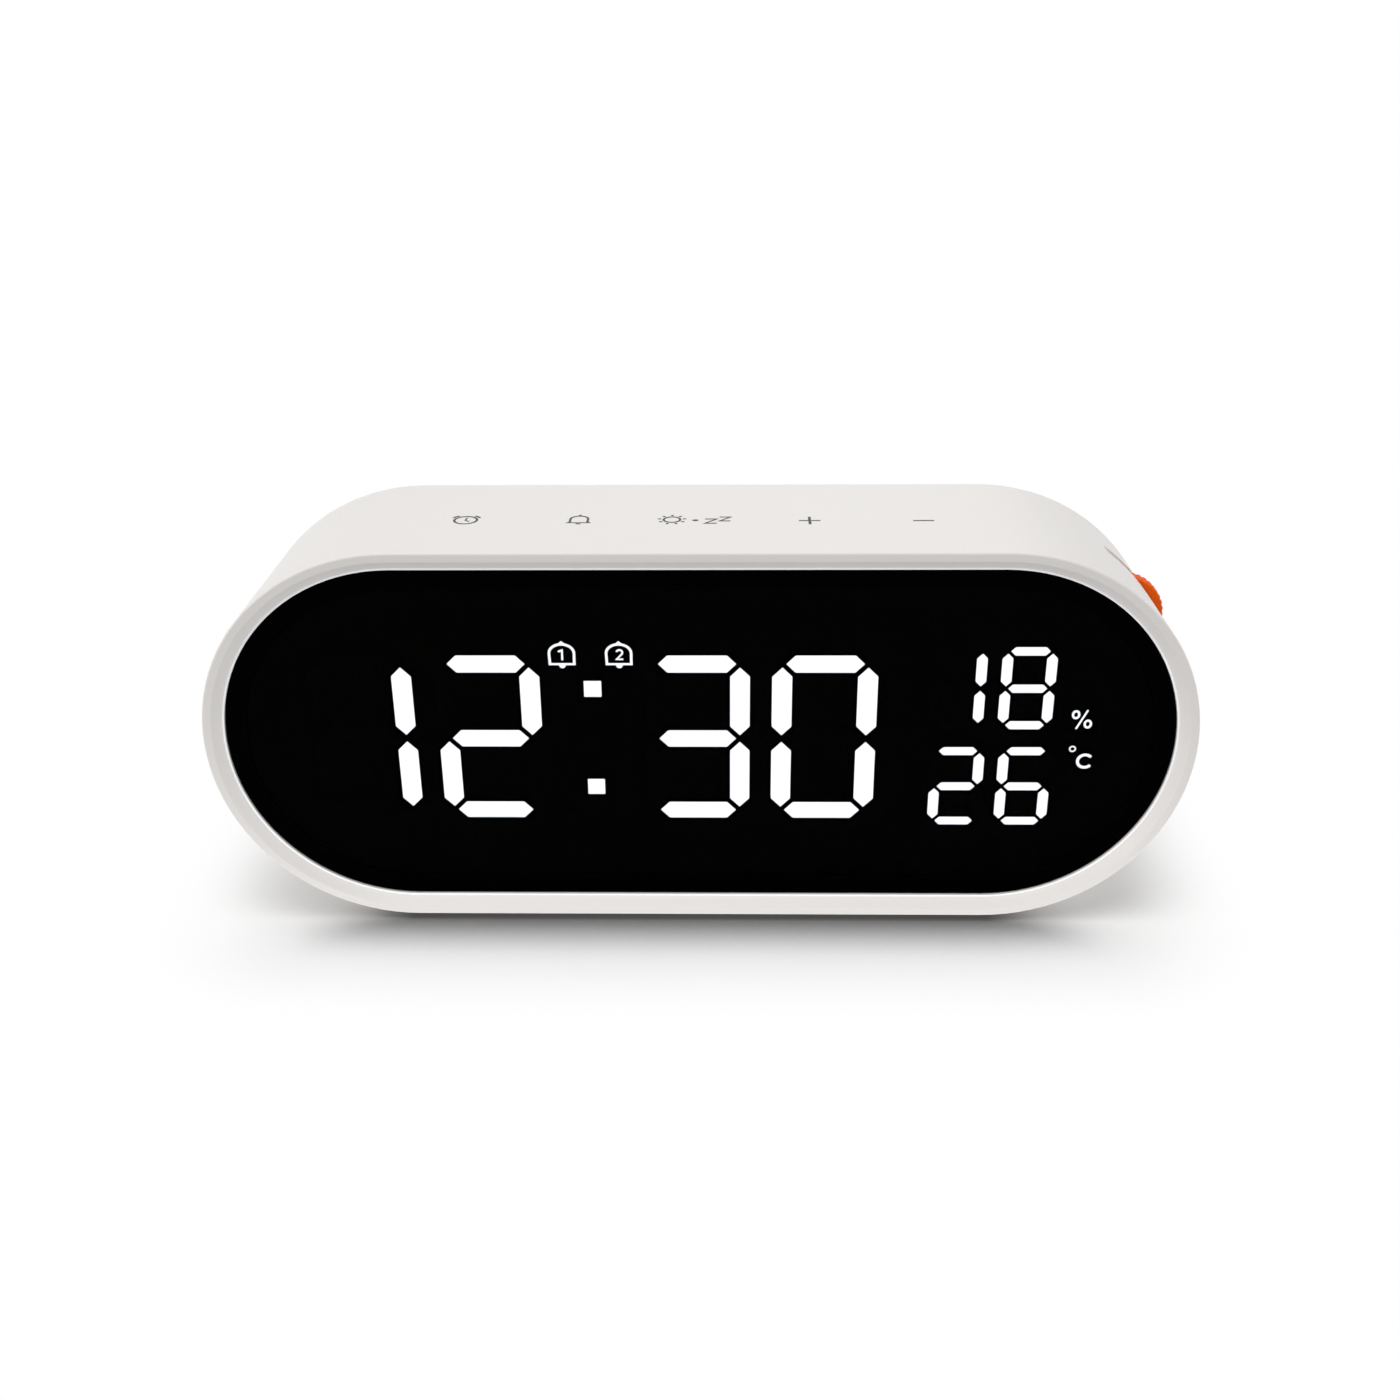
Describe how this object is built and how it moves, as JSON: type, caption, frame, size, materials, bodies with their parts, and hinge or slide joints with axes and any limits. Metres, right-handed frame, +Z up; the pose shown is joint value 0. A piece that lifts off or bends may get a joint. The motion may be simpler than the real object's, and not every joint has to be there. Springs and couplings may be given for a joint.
{
  "type": "digital alarm clock",
  "caption": "Stadium-shaped bedside alarm clock with a gloss display panel, touch keys on top, a ridged thumbwheel at the right end and a battery bay behind",
  "frame": {"origin": "on the standing surface under the middle of the case", "axes": "X to the right as the display is read, Y from the display to the rear cover, Z up"},
  "size_m": [0.18, 0.044, 0.074],
  "materials": {
    "case_white": "fine satin moulding",
    "foot_rubber": "matt",
    "screw_steel": "plain",
    "lens_smoke": "gloss",
    "black_foam": "matt foam",
    "frame_black": "matt",
    "segment_lit": "diffusing",
    "segment_dark": "diffusing, unlit behind the tinted panel",
    "led_white": "resin",
    "board_green": "solder mask",
    "wheel_orange": "satin",
    "shaft_metal": "turned",
    "can_metal": "sleeved can",
    "connector_ivory": "plain",
    "ribbon_white": "film",
    "cell_can": null,
    "basket_metal": "pressed",
    "cone_black": "pressed paper",
    "magnet_grey": "ferrite",
    "lead_black": "insulated"
  },
  "bodies": {
    "case": {"housing": "case_white", "rear_cover": "case_white", "rubber_feet": "foot_rubber", "cover_screws": "screw_steel", "front_lens": "lens_smoke", "lens_tape": "black_foam", "display_frame": "frame_black", "lit_segments": "segment_lit", "unlit_segments": "segment_dark", "sign_windows": "segment_dark", "display_leds": "led_white", "display_board": "board_green", "display_screws": "screw_steel", "dial_body": "frame_black", "dial_board": "board_green", "dial_screws": "screw_steel", "touch_board": "board_green", "touch_pads": "black_foam", "touch_screws": "screw_steel", "touch_ribbon": "ribbon_white", "main_board": "board_green", "board_screws": "screw_steel", "board_chips": "frame_black", "board_capacitors": "can_metal", "board_connectors": "connector_ivory", "display_ribbon": "ribbon_white", "climate_sensor": "connector_ivory", "usb_shell": "screw_steel", "usb_tongue": "frame_black", "battery_cells": "cell_can", "battery_contacts": "screw_steel", "speaker_frame": "basket_metal", "speaker_cone": "cone_black", "speaker_magnet": "magnet_grey", "speaker_gasket": "black_foam", "speaker_lead": "lead_black"},
    "wheel": {"thumbwheel": "wheel_orange", "dial_shaft": "shaft_metal", "wheel_screw": "screw_steel"},
    "door": {"battery_door": "case_white"}
  },
  "joints": [
    {"name": "wheel_turn", "type": "hinge", "parent": "case", "child": "wheel", "pos_m": [0.07909, -0.0001, 0.05437], "axis": [0, 1, 0], "range_deg": [-140, 140]},
    {"name": "door_swing", "type": "hinge", "parent": "case", "child": "door", "pos_m": [-0.02495, 0.0204, 0.0375], "axis": [0, 0, 1], "range_deg": [0, 80]}
  ]
}
